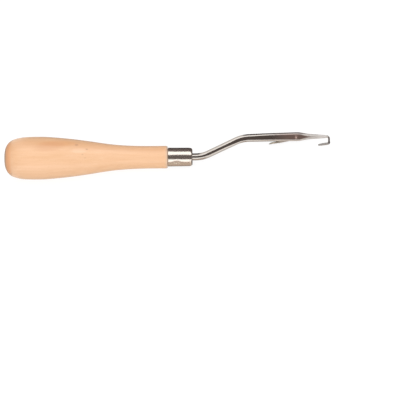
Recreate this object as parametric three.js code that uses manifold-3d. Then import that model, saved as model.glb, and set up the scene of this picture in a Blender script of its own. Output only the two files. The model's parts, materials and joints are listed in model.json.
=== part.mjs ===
// Bent latch hook: a turned wooden handle, a metal ferrule, a cranked steel needle with a
// slotted head and a hook, and a latch that swings on a rivet.
//
// Every piece is drawn in the tool frame, in millimetres: u along the handle's axis from the
// butt towards the hook, v in the plane of the bends towards the raised head, w square to that
// plane. The whole tool is then laid on its side, as it comes to rest on a flat surface.

import * as THREE from 'three';
import { mergeVertices } from 'three/addons/utils/BufferGeometryUtils.js';
import Module from 'manifold-3d';

const wasm = await Module();
wasm.setup();

// ---------------------------------------------------------------- driving dimensions (mm, degrees)

// Handle: [u, radius] from the butt's flat to the front shoulder
const HANDLE_PROFILE = [
  [0.14, 2.5], [0.24, 3.2], [0.42, 4.15], [0.72, 5.25], [1.17, 6.3], [1.8, 7.3], [2.75, 8.3],
  [4.05, 9.23], [5.8, 9.98], [8.0, 10.5], [10.6, 10.77], [13.6, 10.88], [17.1, 10.91], [20.4, 10.86],
  [24.3, 10.61], [28.4, 10.25], [32.4, 9.86], [36.5, 9.37], [40.6, 8.82], [44.7, 8.22], [48.8, 7.57],
  [52.8, 6.99], [56.9, 6.5], [61.0, 6.17], [65.1, 5.94], [69.2, 5.81], [74.0, 5.73], [79.0, 5.73],
  [82.4, 5.76], [82.85, 5.68], [83.15, 5.5], [83.3, 5.2],
];
const HANDLE_SIDES = 48;
const SPIGOT_R_BACK = 4.25;      // wooden spigot inside the ferrule
const SPIGOT_R_FRONT = 4.13;
const SPIGOT_END = 95.1;
const BORE_R = 1.87;             // bore for the tang
const BORE_END = 59.6;

// Ferrule: drawn cap, wall 0.45
const FERRULE_BACK = 83.42;
const FERRULE_FRONT = 95.99;
const FERRULE_R_BACK = 4.79;
const FERRULE_R_FRONT = 4.7;
const FERRULE_WALL = 0.45;
const SHANK_HOLE_R = 1.93;
const STAKE_U = 87.9;            // the punched mark that stakes the ferrule to the wood
const STAKE_ANGLE = -41.5;       // about u, from w towards -v
const STAKE_RADII = [2.0, 1.1, 1.5];   // of its ellipsoid: along u, radial, around
const STAKE_DEPTH = 0.39;

// Needle
const SHANK_R = 1.85;
const TANG_R = 1.79;
const TANG_END = 60.4;
const EAR_SPAN = 2.4;            // coined ears that stop the tang turning in the wood
const EAR_THICK = 0.9;
const BEND_1 = { u: 97.475, radius: 16.36, turn: 24.85 };
const BEND_GAP = 15.08;          // straight between the two bends
const BEND_2 = { radius: 17.36, turn: -23.65 };
const HEAD_TILT = 1.33;
// Head: an oval, its cheeks pressed flat, [distance past the second bend, half height in the plane of the bends]
const HEAD_PROFILE = [
  [-1.4, 1.9], [0, 1.955], [1.6, 1.975], [3.4, 2.01], [6, 2.06], [10, 2.1], [18, 2.155], [22, 2.2], [24.2, 2.225],
  [24.9, 2.21], [25.4, 2.12],
];
const HEAD_FLATNESS = 0.72;      // of the oval before its cheeks are flat: half width over half height
// Neck: [u, half height], on its own axis
const NECK_AXIS = [[148.6, 10.025], [163.3, 9.865]];
const NECK_PROFILE = [
  [148.6, 2.1], [149.4, 2.22], [149.9, 2.21], [150.8, 2.14], [151.8, 1.98], [152.9, 1.8], [153.9, 1.63],
  [155.0, 1.47], [156.4, 1.31], [158.2, 1.195], [160.4, 1.055], [162.0, 0.94], [163.3, 0.81],
];
const NECK_FLATNESS = 0.95;
const NECK_JOINT = 156.6;        // where the solid of the hook begins
// Half width of head, neck and hook, square to the plane of the bends: [u, half width]
const WAIST = [
  [120, 1.67], [123.5, 1.6], [126.6, 1.555], [128.4, 1.51], [131, 1.45], [135, 1.41], [143, 1.37], [147, 1.345],
  [152.9, 1.34], [153.9, 1.32], [155, 1.27], [156.4, 1.2], [158.2, 1.13], [160.4, 1.02], [162, 0.92],
  [163.3, 0.83], [164.2, 0.78], [168, 0.74],
];
// The shank runs on into the head and is pressed flat over this stretch: [u, half width]
const PRESS = [[90, 2], [111, 2], [112, 1.85], [114.5, 1.82], [117.5, 1.74], [120.5, 1.66], [123.5, 1.6], [126.6, 1.555], [128.4, 1.51], [132, 1.44]];
// Hook: centre line and section
const HOOK_START = [162.2, 9.872];
const HOOK_TOP_V = 9.849;
const HOOK_FACE_U = 165.68;      // centre line of the upright stretch
const HOOK_TOP_R = 1.15;         // upper corner
const HOOK_LOW_R = 0.68;         // lower corner
const ARM_ROOT = [165.0, 6.25];  // centre line of the arm near the corner
const ARM_TIP = [160.05, 5.56];
const HOOK_IN_PLANE = 1.06;      // section in the plane of the hook
const HOOK_LATERAL = 1.5;        // and square to it
const ARM_R = [0.58, 0.58, 0.5];

// Latch
const PIVOT = [148.8, 9.22];
const LATCH_OPEN = 191.4;        // direction of the open latch in the u, v plane
const LATCH_LENGTH = 14.2;
const EYE_R = 1.15;
const EYE_HOLE_R = 0.5;
const BLADE_THICK = 0.9;
const SLOT_WIDTH = 1.1;
const SPOON_R = 1.15;            // round back of the spoon, centred above the blade
const SPOON_CENTRE = 0.75;

// Rivet
const RIVET_R = 0.45;
const RIVET_HOLE_R = 0.5;
const RIVET_HEAD_R = 0.62;
const RIVET_HEAD_UNDER = 1.05;
const RIVET_HALF = 1.38;

// How the tool lies on a flat surface: turned about its axis, then nose down
const REST_ROLL = 17.478;
const REST_PITCH = 4.767;

// ---------------------------------------------------------------- helpers

const rad = THREE.MathUtils.degToRad;

// A closed solid from any geometry, its faces pointing out
function solid(geometry) {
  const g = geometry.clone();
  g.deleteAttribute('normal');
  g.deleteAttribute('uv');
  const m = mergeVertices(g, 1e-4);
  const p = m.attributes.position;
  const all = Array.from(m.index.array);
  const tri = [];
  let volume = 0;
  const a = new THREE.Vector3(), b = new THREE.Vector3(), c = new THREE.Vector3();
  for (let i = 0; i < all.length; i += 3) {
    const [x, y, z] = all.slice(i, i + 3);
    if (x === y || y === z || z === x) continue;
    tri.push(x, y, z);
    a.fromBufferAttribute(p, x);
    b.fromBufferAttribute(p, y);
    c.fromBufferAttribute(p, z);
    volume += a.dot(b.cross(c)) / 6;
  }
  if (volume < 0) for (let i = 0; i < tri.length; i += 3) [tri[i + 1], tri[i + 2]] = [tri[i + 2], tri[i + 1]];
  return new wasm.Manifold(new wasm.Mesh({
    numProp: 3,
    vertProperties: new Float32Array(p.array),
    triVerts: new Uint32Array(tri),
  }));
}

function geometryOf(manifold) {
  const m = manifold.getMesh();
  const g = new THREE.BufferGeometry();
  g.setAttribute('position', new THREE.BufferAttribute(new Float32Array(m.vertProperties), 3));
  g.setIndex(new THREE.BufferAttribute(new Uint32Array(m.triVerts), 1));
  g.computeVertexNormals();
  return g;
}

// Turned shape along u: points are [u, radius]; the profile closes on the axis
function turned(points, sides, phase = 0) {
  const line = points.map(([u, r]) => new THREE.Vector2(r, u));
  if (line[0].x > 0) line.unshift(new THREE.Vector2(0, line[0].y));
  if (line.at(-1).x > 0) line.push(new THREE.Vector2(0, line.at(-1).y));
  return new THREE.LatheGeometry(line, sides, phase).rotateZ(-Math.PI / 2);
}

// Side view outline [u, v] made thick square to the plane of the bends
function plate(outline, thick) {
  const shape = new THREE.Shape(outline.map(([u, v]) => new THREE.Vector2(u, v)));
  return new THREE.ExtrudeGeometry(shape, { depth: thick, bevelEnabled: false }).translate(0, 0, -thick / 2);
}

// Top view outline: [u, half width] on both sides of the plane of the bends, made tall along v
function waisted(half, low, high) {
  const left = half.map(([u, w]) => new THREE.Vector2(u, w));
  const right = half.slice().reverse().filter(([, w]) => w > 0).map(([u, w]) => new THREE.Vector2(u, -w));
  const shape = new THREE.Shape([...left, ...right]);
  return new THREE.ExtrudeGeometry(shape, { depth: high - low, bevelEnabled: false })
    .translate(0, 0, -high).rotateX(-Math.PI / 2).scale(1, -1, 1);
}

// Cubic through an arc in the u, v plane, exact to a thousandth of its radius for a turn up to a right angle
function arc(centre, radius, from, to) {
  const k = 4 / 3 * Math.tan((to - from) / 4) * radius;
  const at = (q, t) => new THREE.Vector3(
    centre[0] + radius * Math.cos(q) - t * Math.sin(q), centre[1] + radius * Math.sin(q) + t * Math.cos(q), 0);
  return new THREE.CubicBezierCurve3(at(from, 0), at(from, k), at(to, -k), at(to, 0));
}

const point = ([u, v]) => new THREE.Vector3(u, v, 0);

// An oval section swept along a path in the u, v plane: a in the plane, b square to it
function swept(path, a, b, sides, steps) {
  const shape = new THREE.Shape();
  for (let i = 0; i < sides; i++) {
    const q = (i + 0.5) / sides * 2 * Math.PI;
    const f = path.computeFrenetFrames(1, false).normals[0];
    const inPlane = Math.abs(f.z) < 0.5;
    const x = (inPlane ? a : b) * Math.cos(q), y = (inPlane ? b : a) * Math.sin(q);
    if (i) shape.lineTo(x, y); else shape.moveTo(x, y);
  }
  return new THREE.ExtrudeGeometry(shape, { steps, extrudePath: path, bevelEnabled: false });
}

const joined = (list) => list.reduce((x, y) => x.add(y));

// ---------------------------------------------------------------- the centre line of the shank

const turn1 = rad(BEND_1.turn), turn2 = rad(BEND_2.turn);
const centre1 = [BEND_1.u, BEND_1.radius];
const end1 = [BEND_1.u + BEND_1.radius * Math.sin(turn1), BEND_1.radius * (1 - Math.cos(turn1))];
const start2 = [end1[0] + BEND_GAP * Math.cos(turn1), end1[1] + BEND_GAP * Math.sin(turn1)];
const centre2 = [start2[0] + BEND_2.radius * Math.sin(turn1), start2[1] - BEND_2.radius * Math.cos(turn1)];
const q2 = Math.PI / 2 + turn1;
const end2 = [centre2[0] + BEND_2.radius * Math.cos(q2 + turn2), centre2[1] + BEND_2.radius * Math.sin(q2 + turn2)];
const tilt = rad(HEAD_TILT);

const shankPath = new THREE.CurvePath();
shankPath.add(new THREE.LineCurve3(point([95.4, 0]), point([BEND_1.u, 0])));
shankPath.add(arc(centre1, BEND_1.radius, -Math.PI / 2, -Math.PI / 2 + turn1));
shankPath.add(new THREE.LineCurve3(point(end1), point(start2)));
shankPath.add(arc(centre2, BEND_2.radius, q2, q2 + turn2));
shankPath.add(new THREE.LineCurve3(point(end2), point([end2[0] + 5 * Math.cos(tilt), end2[1] + 5 * Math.sin(tilt)])));

// ---------------------------------------------------------------- handle

// The punched mark, grown by a margin and sunk by a depth, as an ellipsoid on the ferrule's wall
function stake(grow, sink) {
  const q = rad(STAKE_ANGLE);
  const r = FERRULE_R_BACK + STAKE_RADII[1] - STAKE_DEPTH - sink;
  return solid(new THREE.SphereGeometry(1, 18, 12)
    .scale(STAKE_RADII[0] + grow, STAKE_RADII[2] + grow, STAKE_RADII[1] + grow)
    .rotateX(-q)
    .translate(STAKE_U, r * Math.sin(q), r * Math.cos(q)));
}

const earOutline = (grow, front) => {
  const s = EAR_SPAN + grow;
  return [[64.6 - grow, -0.4], [66.6 - grow, -s], [front, -s], [front, s], [66.6 - grow, s], [64.6 - grow, 0.4]];
};

const wood = solid(turned([...HANDLE_PROFILE, [83.3, SPIGOT_R_BACK], [SPIGOT_END - 0.4, SPIGOT_R_FRONT],
  [SPIGOT_END, SPIGOT_R_FRONT - 0.35]], HANDLE_SIDES));
const bore = solid(turned([[BORE_END, 0.7], [BORE_END + 1.6, BORE_R], [SPIGOT_END + 1, BORE_R]], 24));
const earGroove = solid(plate(earOutline(0.1, SPIGOT_END + 1), EAR_THICK + 0.12));
const handle = wood.subtract(bore).subtract(earGroove).subtract(stake(0.08, FERRULE_WALL));

// ---------------------------------------------------------------- ferrule

const capOutside = solid(turned([
  [FERRULE_BACK, FERRULE_R_BACK - 0.3], [FERRULE_BACK + 0.14, FERRULE_R_BACK - 0.12],
  [FERRULE_BACK + 0.36, FERRULE_R_BACK - 0.02], [FERRULE_BACK + 0.8, FERRULE_R_BACK],
  [FERRULE_FRONT - 1.75, FERRULE_R_FRONT], [FERRULE_FRONT - 1.03, FERRULE_R_FRONT - 0.12],
  [FERRULE_FRONT - 0.5, FERRULE_R_FRONT - 0.36], [FERRULE_FRONT - 0.18, FERRULE_R_FRONT - 0.72],
  [FERRULE_FRONT, FERRULE_R_FRONT - 1.4], [FERRULE_FRONT, 2.05],
], 40));
const capInside = solid(turned([
  [FERRULE_BACK - 1, FERRULE_R_BACK - FERRULE_WALL], [FERRULE_BACK, FERRULE_R_BACK - FERRULE_WALL],
  [FERRULE_FRONT - 1.25, FERRULE_R_FRONT - FERRULE_WALL], [FERRULE_FRONT - 0.8, FERRULE_R_FRONT - FERRULE_WALL - 0.24],
  [FERRULE_FRONT - 0.48, 3.4], [FERRULE_FRONT - 0.46, 2.05],
], 40));
const shankHole = solid(turned([[FERRULE_FRONT - 2, SHANK_HOLE_R], [FERRULE_FRONT + 1, SHANK_HOLE_R]], 32));
const ferrule = capOutside.subtract(stake(0, 0))
  .subtract(capInside.subtract(stake(0, FERRULE_WALL)))
  .subtract(shankHole);

// ---------------------------------------------------------------- needle

const tang = solid(turned([[TANG_END, 0.5], [TANG_END + 1.4, TANG_R], [96.3, TANG_R]], 24));
const ears = solid(plate([[64.6, -0.4], [66.6, -EAR_SPAN], [70.4, -EAR_SPAN], [72.4, -0.4],
  [72.4, 0.4], [70.4, EAR_SPAN], [66.6, EAR_SPAN], [64.6, 0.4]], EAR_THICK));
const shank = solid(swept(shankPath, SHANK_R, SHANK_R, 20, 34)).intersect(solid(waisted(PRESS, -4, 15)));
const head = solid(turned(HEAD_PROFILE, 20, Math.PI / 20).scale(1, 1, HEAD_FLATNESS).rotateZ(tilt).translate(end2[0], end2[1], 0));
const neckTilt = Math.atan2(NECK_AXIS[1][1] - NECK_AXIS[0][1], NECK_AXIS[1][0] - NECK_AXIS[0][0]);
const neck = solid(turned(NECK_PROFILE.map(([u, r]) => [u - NECK_AXIS[0][0], r]), 20, Math.PI / 20)
  .scale(1, 1, NECK_FLATNESS).rotateZ(neckTilt).translate(NECK_AXIS[0][0], NECK_AXIS[0][1], 0));

const armTilt = Math.atan2(ARM_TIP[1] - ARM_ROOT[1], ARM_TIP[0] - ARM_ROOT[0]);
const topCentre = [HOOK_FACE_U - HOOK_TOP_R, HOOK_TOP_V - HOOK_TOP_R];
const lowTo = armTilt + Math.PI / 2;   // radius of the lower corner where the arm leaves it
const lowCentre = [HOOK_FACE_U - HOOK_LOW_R, ARM_ROOT[1] - HOOK_LOW_R * Math.sin(lowTo)];
const armRoot = [lowCentre[0] + HOOK_LOW_R * Math.cos(lowTo), lowCentre[1] + HOOK_LOW_R * Math.sin(lowTo)];
const hookPath = new THREE.CurvePath();
hookPath.add(new THREE.LineCurve3(point(HOOK_START), point([topCentre[0], HOOK_TOP_V])));
hookPath.add(arc(topCentre, HOOK_TOP_R, Math.PI / 2, 0));
hookPath.add(new THREE.LineCurve3(point([HOOK_FACE_U, topCentre[1]]), point([HOOK_FACE_U, lowCentre[1]])));
hookPath.add(arc(lowCentre, HOOK_LOW_R, 0, lowTo));
hookPath.add(new THREE.LineCurve3(point(armRoot), point([armRoot[0] + 0.6 * Math.cos(armTilt), armRoot[1] + 0.6 * Math.sin(armTilt)])));
const bow = solid(swept(hookPath, HOOK_IN_PLANE / 2, HOOK_LATERAL / 2, 14, 30));
const armLength = Math.hypot(ARM_TIP[0] - armRoot[0], ARM_TIP[1] - armRoot[1]);
const arm = solid(turned([[-0.1, 0.5], [0.2, ARM_R[0]], [2.2, ARM_R[1]], [armLength - 1.1, ARM_R[2]], [armLength - 0.5, 0.43],
  [armLength - 0.18, 0.3], [armLength, 0.12]], 14, Math.PI / 14)
  .scale(1, 1, 1.25).rotateZ(armTilt).translate(armRoot[0], armRoot[1], 0));

// Slot for the latch, open underneath: its floor follows the back of the open latch, passes round
// the eye, and comes down ahead of it where the closed latch leaves the head
const openDir = rad(LATCH_OPEN);
const along = (t, p) => [PIVOT[0] + t * Math.cos(openDir) - p * Math.sin(openDir),
  PIVOT[1] + t * Math.sin(openDir) + p * Math.cos(openDir)];
const slotOutline = [
  [137.3, 5], along(11.3, -0.66), along(10.9, -0.7), along(1.3, -0.7),
  ...[146, 130, 114, 98, 82, 66].map((q) => [PIVOT[0] + 1.32 * Math.cos(rad(q)), PIVOT[1] + 1.32 * Math.sin(rad(q))]),
  [151.0, 9.9], [152.6, 9.27], [154.7, 8.36], [155.4, 5],
];
const slot = solid(plate(slotOutline, SLOT_WIDTH));
const rivetHole = solid(new THREE.CylinderGeometry(RIVET_HOLE_R, RIVET_HOLE_R, 6, 24).rotateX(Math.PI / 2)
  .translate(PIVOT[0], PIVOT[1], 0));
const sink = (side) => solid(new THREE.CylinderGeometry(RIVET_HEAD_R + 0.06, RIVET_HEAD_R + 0.06, 1, 24).rotateX(Math.PI / 2)
  .translate(PIVOT[0], PIVOT[1], side * (RIVET_HEAD_UNDER - 0.05 + 0.5)));

const front = joined([head, neck, bow, arm]).intersect(solid(waisted(WAIST, 2, 15)));
const steel = joined([tang, ears, shank, front]).subtract(slot).subtract(rivetHole).subtract(sink(1)).subtract(sink(-1));
// One piece of steel, held as two solids that meet in the neck, so that each follows its own shape closely
const behind = solid(new THREE.BoxGeometry(120, 40, 12).translate(NECK_JOINT - 60 - 0.02, 0, 0));
const ahead = solid(new THREE.BoxGeometry(20, 40, 12).translate(NECK_JOINT + 10 + 0.02, 0, 0));
const needle = steel.intersect(behind);
const hook = steel.intersect(ahead);

// ---------------------------------------------------------------- latch, in its own frame: t along it, p towards the hook when closed

const sideOutline = [
  [1.05, 0.86], [2, 0.8], [4, 0.8], [6.9, 0.85], [9, 0.8], [10.6, 0.62], [12, 0.5], [13.2, 0.44], [13.9, 0.36],
  [LATCH_LENGTH, 0.2], [LATCH_LENGTH, 0.14], [13.9, 0], [13.4, -0.17], [12.8, -0.33], [12, -0.4], [8.2, -0.38],
  [4, -0.5], [1.6, -0.56], [1.2, -0.63],
  ...[-42, -66, -90, -114, -138, -162, 174, 150, 126, 102, 78, 56].map((q) => [EYE_R * Math.cos(rad(q)), EYE_R * Math.sin(rad(q))]),
];
const spoonOutline = [
  [-2, BLADE_THICK / 2], [9.3, BLADE_THICK / 2], [9.85, 0.62], [10.35, 0.84], [10.95, 1.02], [11.6, 1.1], [12.4, 1.08],
  [13.2, 0.94], [13.8, 0.66], [14.15, 0.3], [LATCH_LENGTH, 0.1],
];
const side = solid(plate(sideOutline, 3));
const plan = solid(waisted(spoonOutline, -2, 2));
const roundBack = solid(new THREE.CylinderGeometry(SPOON_R, SPOON_R, 8, 24).rotateZ(Math.PI / 2).translate(12.6, SPOON_CENTRE, 0));
const bladeOnly = solid(new THREE.BoxGeometry(12, 4, 3).translate(2.8, 0, 0));
const scoop = solid(new THREE.SphereGeometry(1, 18, 12).scale(2.5, 0.86, 0.8).translate(11.3, 0.92, 0));
const eyeHole = solid(new THREE.CylinderGeometry(EYE_HOLE_R, EYE_HOLE_R, 3, 24).rotateX(Math.PI / 2));
const latch = side.intersect(plan).intersect(roundBack.add(bladeOnly)).subtract(scoop).subtract(eyeHole);

// ---------------------------------------------------------------- rivet, along w

const rivet = solid(turned([
  [-RIVET_HALF, 0.2], [-RIVET_HALF + 0.09, 0.44], [-RIVET_HALF + 0.22, RIVET_HEAD_R], [-RIVET_HEAD_UNDER, RIVET_HEAD_R],
  [-RIVET_HEAD_UNDER, RIVET_R], [RIVET_HEAD_UNDER, RIVET_R], [RIVET_HEAD_UNDER, RIVET_HEAD_R],
  [RIVET_HALF - 0.22, RIVET_HEAD_R], [RIVET_HALF - 0.09, 0.44], [RIVET_HALF, 0.2],
], 24).rotateY(-Math.PI / 2));

// ---------------------------------------------------------------- the tool

const woodFinish = new THREE.MeshStandardMaterial({ name: 'handle_wood', color: 0xf2c79c, roughness: 0.42, metalness: 0 });
const ferruleFinish = new THREE.MeshStandardMaterial({ name: 'ferrule_plate', color: 0xd9d5d0, roughness: 0.12, metalness: 1 });
const needleFinish = new THREE.MeshStandardMaterial({ name: 'needle_plate', color: 0xcfcac4, roughness: 0.16, metalness: 1 });
const latchFinish = new THREE.MeshStandardMaterial({ name: 'latch_plate', color: 0xc9c2b6, roughness: 0.2, metalness: 1 });
const rivetFinish = new THREE.MeshStandardMaterial({ name: 'rivet_steel', color: 0xd8d4ce, roughness: 0.25, metalness: 1 });

function mesh(name, manifold, material) {
  const m = new THREE.Mesh(geometryOf(manifold), material);
  m.name = name;
  return m;
}

const tool = new THREE.Group();
tool.add(mesh('handle', handle, woodFinish));
tool.add(mesh('ferrule', ferrule, ferruleFinish));
tool.add(mesh('needle', needle, needleFinish));
tool.add(mesh('hook', hook, needleFinish));

const pivot = new THREE.Group();
pivot.position.set(PIVOT[0], PIVOT[1], 0);
const latchMesh = mesh('latch', latch, latchFinish);
latchMesh.rotation.z = openDir;
pivot.add(latchMesh);
pivot.add(mesh('latch_rivet', rivet, rivetFinish));
tool.add(pivot);

// Lay the tool down: the bend plane turned up about the handle's axis, then the nose lowered
tool.rotation.x = rad(REST_ROLL);
const laid = new THREE.Group();
laid.add(tool);
laid.rotation.y = rad(REST_PITCH);
const group = new THREE.Group();
group.add(laid);

// Bottom centre of the whole at the origin
group.updateMatrixWorld(true);
const box = new THREE.Box3().setFromObject(group, true);
laid.position.set(-(box.min.x + box.max.x) / 2, -(box.min.y + box.max.y) / 2, -box.min.z);

export default group;
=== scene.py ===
# Bent latch hook: fine meshes and finishes of the five pieces, a pale floor and studio light.
#
# Shapes are drawn in the tool frame, in millimetres: u along the handle from the butt to the
# hook, v in the plane of the bends, w square to it. place() lays them down in the row frame.

import json
import math

import bmesh
import bpy
import numpy as np
from mathutils import Matrix, Vector


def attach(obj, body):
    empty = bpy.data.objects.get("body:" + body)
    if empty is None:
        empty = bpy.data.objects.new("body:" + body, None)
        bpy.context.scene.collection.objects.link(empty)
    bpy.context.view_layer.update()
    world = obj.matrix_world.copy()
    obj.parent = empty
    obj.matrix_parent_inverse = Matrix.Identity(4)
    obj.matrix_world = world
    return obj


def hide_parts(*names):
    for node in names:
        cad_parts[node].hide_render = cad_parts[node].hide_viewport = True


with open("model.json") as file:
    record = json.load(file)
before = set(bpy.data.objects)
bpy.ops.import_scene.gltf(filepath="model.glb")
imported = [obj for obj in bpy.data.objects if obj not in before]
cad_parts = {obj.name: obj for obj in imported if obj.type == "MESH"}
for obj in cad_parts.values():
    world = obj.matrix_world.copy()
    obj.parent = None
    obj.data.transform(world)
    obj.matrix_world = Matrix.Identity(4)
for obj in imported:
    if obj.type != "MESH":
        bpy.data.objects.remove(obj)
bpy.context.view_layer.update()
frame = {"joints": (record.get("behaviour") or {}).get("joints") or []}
rad = math.radians

# ------------------------------------------------------------------ dimensions (mm, degrees)

REST_ROLL = 17.478
REST_PITCH = 4.767

HANDLE_PROFILE = [
    (0.14, 0), (0.14, 0.8), (0.14, 1.6), (0.14, 2.5), (0.24, 3.2), (0.42, 4.15), (0.72, 5.25), (1.17, 6.3), (1.8, 7.3),
    (2.75, 8.3), (4.05, 9.23), (5.8, 9.98), (8.0, 10.5), (10.6, 10.77), (13.6, 10.88), (17.1, 10.91), (20.4, 10.86),
    (24.3, 10.61), (28.4, 10.25), (32.4, 9.86), (36.5, 9.37), (40.6, 8.82), (44.7, 8.22), (48.8, 7.57),
    (52.8, 6.99), (56.9, 6.5), (61.0, 6.17), (65.1, 5.94), (69.2, 5.81), (74.0, 5.73), (79.0, 5.73),
    (82.1, 5.76), (82.55, 5.74), (82.85, 5.68), (83.08, 5.57), (83.22, 5.42), (83.3, 5.2),
]
HANDLE_END = 83.3
SPIGOT_R_BACK, SPIGOT_R_FRONT, SPIGOT_END = 4.25, 4.13, 95.1
BORE_R, BORE_END = 1.87, 59.6
EAR_SPAN, EAR_THICK, EAR_BACK, EAR_FRONT = 2.4, 0.9, 64.6, 72.4

FERRULE_BACK, FERRULE_FRONT = 83.42, 95.99
FERRULE_R_BACK, FERRULE_R_FRONT, FERRULE_WALL = 4.79, 4.7, 0.45
SHANK_HOLE_R = 1.93
STAKE_U, STAKE_ANGLE, STAKE_DEPTH = 87.9, -41.5, 0.39
STAKE_HALF = (1.6, 1.1)        # reach of the punched mark along u and around

SHANK_R, TANG_R, TANG_END = 1.8, 1.79, 60.4
BEND_1_U, BEND_1_R, BEND_1_TURN = 97.475, 16.36, 24.85
BEND_GAP = 15.08
BEND_2_R, BEND_2_TURN = 17.36, -23.65
HEAD_TILT = 1.33
HEAD_HEIGHT = [                  # u, half height in the plane of the bends
    (60.4, 0.5), (61.8, 1.79), (95.0, 1.79), (97.0, 1.8), (101.0, 1.81), (105.0, 1.85), (111.0, 1.86), (114.5, 1.87), (117.5, 1.89), (120.5, 1.92), (123.5, 1.94), (126.6, 1.975),
    (128.4, 2.01), (131.0, 2.06), (135.0, 2.1), (143.0, 2.155), (147.0, 2.2), (149.2, 2.225), (149.9, 2.21),
    (150.8, 2.14), (151.8, 1.98), (152.9, 1.8), (153.9, 1.63), (155.0, 1.47), (156.4, 1.31), (158.2, 1.195),
    (160.4, 1.055), (162.0, 0.94), (163.3, 0.81), (164.2, 0.66), (164.9, 0.56),
]
HEAD_WIDTH = [                   # u, half width square to it: the round wire is pressed to flat cheeks with round edges
    (60.4, 0.5), (61.8, 1.79), (95.0, 1.79), (97.0, 1.8), (101.0, 1.81), (105.0, 1.85), (111.0, 1.86), (114.5, 1.82), (117.5, 1.74), (120.5, 1.66), (123.5, 1.6), (126.6, 1.555),
    (128.4, 1.51), (131.0, 1.45), (135.0, 1.41), (143.0, 1.37), (147.0, 1.345), (149.2, 1.34), (150.8, 1.34),
    (151.8, 1.34), (152.9, 1.34), (153.9, 1.32), (155.0, 1.27), (156.4, 1.2), (158.2, 1.13), (160.4, 1.02),
    (162.0, 0.92), (163.3, 0.83), (164.2, 0.78), (165.0, 0.75),
]
NECK_AXIS = [(148.6, 10.025), (163.3, 9.865)]
HOOK_TOP_V, HOOK_FACE_U, HOOK_TOP_R, HOOK_LOW_R = 9.849, 165.68, 1.15, 0.68
ARM_ROOT, ARM_TIP = (165.0, 6.25), (160.05, 5.56)
LOW_EDGE = [(128.0, 1.2), (135.0, 1.14), (140.0, 0.98), (147.0, 0.84)]      # u, radius of the lower edges of the pressed head
HOOK_HALF = (0.53, 0.75)         # half section in the plane of the hook and square to it

PIVOT = (148.8, 9.22)
LATCH_OPEN = 191.4
LATCH_LENGTH, EYE_R, EYE_HOLE_R, BLADE_HALF = 14.2, 1.15, 0.5, 0.45
SLOT_HALF, SLOT_EYE_R = 0.55, 1.32
RIVET_R, RIVET_HOLE_R, RIVET_HEAD_R, RIVET_HEAD_UNDER, RIVET_HALF = 0.45, 0.5, 0.62, 1.05, 1.38

# Dark flecks in the wood: u, v, half length, half height, depth of tone
FLECKS = [(37.1, 6.5, 1.2, 0.65, 0.34), (42.3, 4.2, 0.8, 0.5, 0.36), (41.4, -0.15, 0.8, 0.4, 0.22), (40.1, 1.55, 0.7, 0.4, 0.25)]

# ------------------------------------------------------------------ studio: angles in degrees from the line of sight

DISTANCE, MM_PER_PX, IMAGE, ROLL, BUTT_PX = 2.0, 0.51, 400, 0.46, (4.3, 158.42)
FLOOR_BASE, FLOOR_GLOW = 0.2, 0.84
# Boxes that light: angle from the line of sight towards +v, half their width, radiance
LIGHTS = {
    "fill_front": dict(angle=0.0, half_angle=30.0, radiance=2.21),
    "fill_far": dict(angle=66.0, half_angle=24.0, radiance=1.48, colour=(0.97, 1.0, 1.05)),
    "fill_near": dict(angle=-68.0, half_angle=22.0, radiance=0.66),
    "fill_butt": dict(angle=0.0, aside=-58.0, half_angle=24.0, radiance=0.9),
}
# The room as polished metal shows it: two windows of light, round but drawn out past the hook, what lies between them, and the low ring
WINDOWS = [(48.4, 20.0, 1.6, 0.0, 0.28), (-47.25, 16.25, 1.6, 0.36, 0.22)]      # angle towards +v, half angle, radiance; where they begin to be drawn out along +u, and the share of +u that then counts
LOW_ABOVE, LOW_ASIDE = (0.384, -0.07), 0.70               # the ring is where w < first + second * v, or less than that aside
ROOM = {"top": (0.13, 0.105, 0.095, 1), "low_near": (0.69, 0.585, 0.505, 1), "low_far": (0.13, 0.10, 0.095, 1),
        "low_side": (1.42, 1.36, 1.29, 1), "low_side_deep": (0.85, 0.815, 0.785, 1), "low_end": (0.16, 0.13, 0.12, 1)}

# ------------------------------------------------------------------ the tool frame in the row frame

cr, sr, cp, sp = math.cos(rad(REST_ROLL)), math.sin(rad(REST_ROLL)), math.cos(rad(REST_PITCH)), math.sin(rad(REST_PITCH))
TURN = np.array([[cp, 0, sp], [0, 1, 0], [-sp, 0, cp]]) @ np.array([[1, 0, 0], [0, cr, -sr], [0, sr, cr]])
SHIFT = np.array(frame["joints"][0]["pos_m"]) * 1000 - TURN @ np.array([PIVOT[0], PIVOT[1], 0.0])


def place(points):
    """Tool frame in mm to row frame in metres."""
    return (np.asarray(points, float) @ TURN.T + SHIFT) * 0.001


# ------------------------------------------------------------------ curves

def hermite(table, q):
    """Monotone cubic through a table of (x, y)."""
    x, y = (np.array(c, float) for c in zip(*table))
    h, d = np.diff(x), np.diff(y) / np.diff(x)
    m = np.concatenate([[d[0]], np.zeros(len(d) - 1), [d[-1]]])
    for i in range(1, len(x) - 1):
        if d[i - 1] * d[i] > 0:
            a, b = 2 * h[i] + h[i - 1], h[i] + 2 * h[i - 1]
            m[i] = (a + b) / (a / d[i - 1] + b / d[i])
    q = np.clip(np.asarray(q, float), x[0], x[-1])
    i = np.clip(np.searchsorted(x, q) - 1, 0, len(h) - 1)
    t = (q - x[i]) / h[i]
    return ((1 + 2 * t) * (1 - t) ** 2 * y[i] + t * (1 - t) ** 2 * h[i] * m[i]
            + t * t * (3 - 2 * t) * y[i + 1] + t * t * (t - 1) * h[i] * m[i + 1])


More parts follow.
